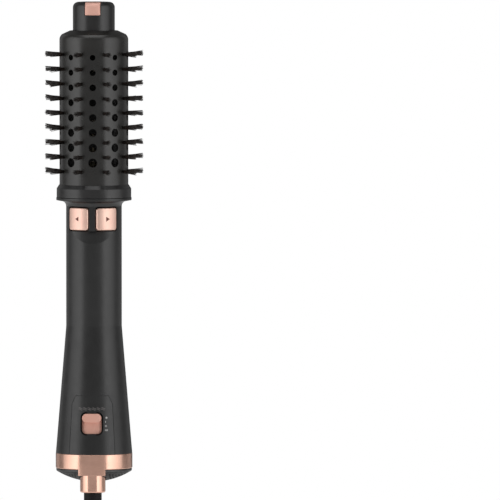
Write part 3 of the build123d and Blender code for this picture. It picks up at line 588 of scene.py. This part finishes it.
# Square cells, each with a round hole, over the dome; cells at its edges and beside the outlet stay closed.
verts, faces = [], []
cells = math.ceil(DOME_RADIUS / CELL)
square = ((1, 0), (1, 1), (0, 1), (-1, 1), (-1, 0), (-1, -1), (0, -1), (1, -1))
for column in range(-cells, cells + 1):
    for row in range(-cells, cells + 1):
        x, y = column * CELL, row * CELL
        away, beside = math.hypot(x, y), math.hypot(x, y - outlet.y)
        if away > DOME_RADIUS + 0.4 * CELL or beside < OUTLET_RADIUS + 0.2 * MM:
            continue
        start = len(verts)
        verts += [on_dome(x + a * CELL / 2, y + b * CELL / 2) for a, b in square]
        in_tongue = abs(x) < OUTLET_RADIUS + CELL and y < outlet.y
        if away > DOME_RADIUS - 1.3 * CELL or beside < OUTLET_RADIUS + CELL or in_tongue:
            faces.append(tuple(range(start, start + 8)))
            continue
        for k in range(8):
            turn = math.radians(45 * k)
            verts.append(on_dome(x + CELL_HOLE * math.cos(turn), y + CELL_HOLE * math.sin(turn)))
        for k in range(8):
            following = (k + 1) % 8
            faces.append((start + k, start + following, start + 8 + following, start + 8 + k))
inlet_mesh = piece("inlet_mesh", verts, faces, mesh_black)
joined = bmesh.new()
joined.from_mesh(inlet_mesh.data)
bmesh.ops.remove_doubles(joined, verts=joined.verts, dist=WELD)
bmesh.ops.dissolve_degenerate(joined, edges=joined.edges, dist=WELD)
bmesh.ops.recalc_face_normals(joined, faces=joined.faces)
joined.to_mesh(inlet_mesh.data)
joined.free()
wall = inlet_mesh.modifiers.new("wall", "SOLIDIFY")
wall.thickness = MESH_THICK
wall.offset = -1.0

# The rim's section, as (radius, height) in millimetres from the tail ring's lower edge.
RIM_OUTSIDE = [(26.2, -2.3), (27.0, -2.3), (27.4, -2.05), (27.6, -1.6), (27.6, 0)]
RIM_INSIDE = [(25.4, 0), (25.4, -0.9), (26.2, -1.2)]
rim = [(radius * MM, z * MM) for radius, z in RIM_OUTSIDE + RIM_INSIDE]
verts, faces = [], []
lathe(rim, Vector((0, 0, RING_BOTTOM)), 1.0, verts, faces, 96)
inlet_rim = piece("inlet_rim", verts, faces, rim_black)
for part in (inlet_mesh, inlet_rim):
    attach(part, "handle")
    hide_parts("inlet_dome")

# ---------------------------------------------------------------- marks on the panel and the buttons
# Heights are above the tail ring's lower edge.
TAPER_TOP = 104 * MM
TAPER = math.atan2(7.6, 93.0)
MARKS_HEIGHT, MARKS_PITCH = 33.4 * MM, 3.0 * MM
AIR_MARK_HEIGHT = 44.4 * MM
WINDOW_HEIGHT = 33.6 * MM
BUTTON_HEIGHT, BUTTON_ANGLE, BUTTON_PROUD = 182.5 * MM, 32.7, 0.6 * MM


def surface_radius(height):
    """The handle's outer radius at a height."""
    return GRIP_RADIUS + max(0.0, TAPER_TOP - height) * math.tan(TAPER)


def button_radius(height):
    """The radius of the direction buttons' outer faces, the same at every height."""
    return GRIP_RADIUS + BUTTON_PROUD


def wrapped(points, height, lift, radius_at):
    """Lay flat (x, z) points onto the round surface."""
    placed = []
    for x, z in points:
        radius = radius_at(height + z)
        y = -math.sqrt(radius * radius - x * x)
        normal = Vector((x, y, 0)).normalized()
        placed.append(Vector((x, y, RING_BOTTOM + height + z)) + lift * normal)
    return placed


def decal(name, outlines, body, material, radius_at, height, centre_angle=0.0):
    """Thin raised marks on a round surface, each from an outline of (x, z) points."""
    verts, faces = [], []
    for points in outlines:
        middle_x = sum(x for x, z in points) / len(points)
        middle_z = sum(z for x, z in points) / len(points)
        rims = []
        for inset, lift in ((1.0, -0.05 * MM), (1.0, 0.05 * MM), (0.55, 0.06 * MM)):
            ring = [
                (middle_x + inset * (x - middle_x), middle_z + inset * (z - middle_z)) for x, z in points
            ]
            rims.append(len(verts))
            verts += wrapped(ring, height, lift, radius_at)
        count = len(points)
        for low, high in zip(rims, rims[1:]):
            for k in range(count):
                following = (k + 1) % count
                faces.append((low + k, low + following, high + following, high + k))
        faces.append(tuple(range(rims[-1], rims[-1] + count)))
        faces.append(tuple(range(rims[0] + count - 1, rims[0] - 1, -1)))
    made = piece(name, verts, faces, material, smooth=False)
    made.data.transform(Matrix.Rotation(math.radians(centre_angle), 4, "Z"))
    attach(made, body)


def dot(x, z, radius, count=20):
    """The (x, z) points round a small disc."""
    turns = [2 * math.pi * k / count for k in range(count)]
    return [(x + radius * math.cos(turn), z + radius * math.sin(turn)) for turn in turns]


def bar(x, z, width, height):
    """The (x, z) corners of a small upright bar."""
    corners = ((-0.5, -0.5), (0.5, -0.5), (0.5, 0.5), (-0.5, 0.5))
    return [(x + a * width, z + b * height) for a, b in corners]


# Four positions, top to bottom: a dot for off, then one, two and three bars.
position_marks = [dot(10.6 * MM, 1.5 * MARKS_PITCH, 0.75 * MM)]
for count in (1, 2, 3):
    z = (1.5 - count) * MARKS_PITCH
    position_marks += [bar((9.9 + 0.75 * n) * MM, z, 0.4 * MM, 1.3 * MM) for n in range(count)]
decal("position_marks", position_marks, "handle", mark_grey, surface_radius, MARKS_HEIGHT)


def triangle(direction, size):
    """A pointing mark with its long sides split, so that it follows the round surface."""
    corners = [(-0.45, -0.6), (0.55, 0.0), (-0.45, 0.6)]
    points = []
    for (x0, z0), (x1, z1) in zip(corners, corners[1:] + corners[:1]):
        for step in range(4):
            share = step / 4
            points.append((direction * size * (x0 + (x1 - x0) * share), size * (z0 + (z1 - z0) * share)))
    return points


def ribbon(name, lines, width, body, material, radius_at, height, thick=0.06 * MM):
    """Raised strokes on a round surface, each along (x, z) points; a closed line ends where it starts."""
    verts, faces = [], []
    for points in lines:
        closed = points[0] == points[-1]
        points = points[:-1] if closed else points
        count = len(points)
        start = len(verts)
        for k, (x, z) in enumerate(points):
            ahead = points[(k + 1) % count] if closed or k < count - 1 else points[k]
            behind = points[k - 1] if closed or k > 0 else points[k]
            along = Vector((ahead[0] - behind[0], ahead[1] - behind[1])).normalized()
            side = Vector((-along.y, along.x)) * width / 2
            left, right = (x + side.x, z + side.y), (x - side.x, z - side.y)
            verts += wrapped([left, right], height, -0.1 * MM, radius_at)
            verts += wrapped([right, left], height, thick, radius_at)
        for k in range(count if closed else count - 1):
            a, b = start + 4 * k, start + 4 * ((k + 1) % count)
            for edge in range(4):
                following = (edge + 1) % 4
                faces.append((a + edge, a + following, b + following, b + edge))
        if not closed:
            last = start + 4 * (count - 1)
            faces.append((start, start + 1, start + 2, start + 3))
            faces.append((last + 3, last + 2, last + 1, last))
    made = piece(name, verts, faces, material, smooth=False)
    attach(made, body)


def wave(first, last, z):
    """A small wave from one x to another, in millimetres."""
    steps = 12
    return [
        ((first + (last - first) * k / steps) * MM, (z + 0.45 * math.sin(2 * math.pi * k / steps)) * MM)
        for k in range(steps + 1)
    ]


def rounded_frame(width, tall, corner):
    """The (x, z) points round a rectangle with round corners, back to the first."""
    points = []
    for quarter, (sx, sz) in enumerate(((1, 1), (-1, 1), (-1, -1), (1, -1))):
        for step in range(7):
            turn = math.radians(90 * quarter + 15 * step)
            x = sx * (width / 2 - corner) + corner * math.cos(turn)
            points.append((x, sz * (tall / 2 - corner) + corner * math.sin(turn)))
    return points + points[:1]


# A row of small double waves, for air, above the slider's window.
air_waves = [wave(-9.6 + 3.3 * k, -7.0 + 3.3 * k, z) for k in range(6) for z in (-0.5, 0.5)]
ribbon("air_mark", air_waves, 0.3 * MM, "handle", print_grey, surface_radius, AIR_MARK_HEIGHT)
# A thin dark frame round the slider's window: painted shadow for the shade in the gap at the window's edge.
window = rounded_frame(15.5 * MM, 15.9 * MM, 3.6 * MM)
ribbon(
    "painted_window_shadow",
    [window],
    1.0 * MM,
    "handle",
    painted_shadow_black,
    surface_radius,
    WINDOW_HEIGHT,
    thick=0.12 * MM,
)
for side, name in ((-1, "left"), (1, "right")):
    decal(
        "arrow_" + name,
        [triangle(side, 3.0 * MM)],
        "button_" + name,
        arrow_brown,
        button_radius,
        BUTTON_HEIGHT,
        centre_angle=side * BUTTON_ANGLE,
    )

# ---------------------------------------------------------------- floor, world and lights
FLOOR_RADIUS, FLOOR_SIDES = 3.5, 96
FLOOR_BELOW = 12 * MM
WORLD_FRONT, WORLD_BACK = 0.27, 0.1
WORLD_SEEN = 1.0
FADED = 0.25
HIGHEST_AIM = 0.4


def make_floor():
    """A pale round floor, slightly luminous, just below the plug."""
    mesh = bpy.data.meshes.new("floor")
    turns = [2 * math.pi * k / FLOOR_SIDES for k in range(FLOOR_SIDES)]
    level = cad_box[0].z - FLOOR_BELOW
    corners = [(FLOOR_RADIUS * math.cos(turn), FLOOR_RADIUS * math.sin(turn), level) for turn in turns]
    mesh.from_pydata(corners, [], [range(FLOOR_SIDES)])
    look = Nodes("floor_pale")
    look.join(look.mix(look.noise(3), grey(0.44), grey(0.47)), look.shader.inputs["Base Color"])
    look.shader.inputs["Roughness"].default_value = 0.9
    look.shader.inputs["Emission Color"].default_value = (1, 1, 1, 1)
    look.shader.inputs["Emission Strength"].default_value = 0.52
    mesh.materials.append(look.material)
    floor = bpy.data.objects.new("floor", mesh)
    scene.collection.objects.link(floor)


def make_world():
    """A white studio as the camera sees it, which lights the object dimly, less from behind."""
    world = bpy.data.worlds.new("studio")
    scene.world = world
    world.use_nodes = True
    tree = world.node_tree
    background = tree.nodes["Background"]
    rays = tree.nodes.new("ShaderNodeLightPath")
    direction = tree.nodes.new("ShaderNodeTexCoord")
    split = tree.nodes.new("ShaderNodeSeparateXYZ")
    glow = tree.nodes.new("ShaderNodeMapRange")
    level = tree.nodes.new("ShaderNodeMix")
    tree.links.new(direction.outputs["Generated"], split.inputs["Vector"])
    tree.links.new(split.outputs["Y"], glow.inputs["Value"])
    glow.inputs["From Min"].default_value = -0.7
    glow.inputs["From Max"].default_value = 0.7
    glow.inputs["To Min"].default_value = WORLD_FRONT
    glow.inputs["To Max"].default_value = WORLD_BACK
    tree.links.new(rays.outputs["Is Camera Ray"], level.inputs["Factor"])
    tree.links.new(glow.outputs["Result"], level.inputs["A"])
    level.inputs["B"].default_value = WORLD_SEEN
    tree.links.new(level.outputs["Result"], background.inputs["Strength"])
    background.inputs["Color"].default_value = (1, 1, 1, 1)


def softbox(name, angle, away, height, width, tall, glow, bright_edge=0):
    """A rectangular light that looks at the object, at an angle round it.

    It fades from one upright edge to FADED of its glow at the other, where bright_edge is -1 or 1.
    """
    light = bpy.data.lights.new(name, "AREA")
    light.shape = "RECTANGLE"
    light.size, light.size_y = width, tall
    light.energy = glow * math.pi * width * tall
    if bright_edge:
        light.use_nodes = True
        tree = light.node_tree
        place = tree.nodes.new("ShaderNodeNewGeometry")
        split = tree.nodes.new("ShaderNodeSeparateXYZ")
        fade = tree.nodes.new("ShaderNodeMapRange")
        tree.links.new(place.outputs["Parametric"], split.inputs["Vector"])
        tree.links.new(split.outputs["X"], fade.inputs["Value"])
        fade.inputs["To Min"].default_value = 1.0 if bright_edge < 0 else FADED
        fade.inputs["To Max"].default_value = FADED if bright_edge < 0 else 1.0
        tree.links.new(fade.outputs["Result"], tree.nodes["Emission"].inputs["Strength"])
    made = bpy.data.objects.new(name, light)
    made.location = away * outward(angle) + Vector((0, 0, height))
    aim_at = Vector((0, 0, min(height, HIGHEST_AIM)))
    made.rotation_euler = (made.location - aim_at).to_track_quat("Z", "Y").to_euler()
    made.visible_camera = False
    scene.collection.objects.link(made)


make_floor()
make_world()
softbox("left_box", angle=-72, away=1.2, height=0.4, width=1.3, tall=1.56, glow=1.6, bright_edge=1)
softbox("right_box", angle=69, away=1.2, height=0.4, width=1.25, tall=1.56, glow=1.6, bright_edge=-1)
softbox("back_left", angle=-140, away=1.5, height=0.45, width=0.8, tall=1.6, glow=0.2)
softbox("back_right", angle=140, away=1.5, height=0.45, width=0.8, tall=1.6, glow=0.16)
softbox("top", angle=0, away=0.4, height=1.7, width=1.4, tall=1.4, glow=1.15)

scene.view_settings.view_transform = "Standard"
scene.view_settings.look = "None"
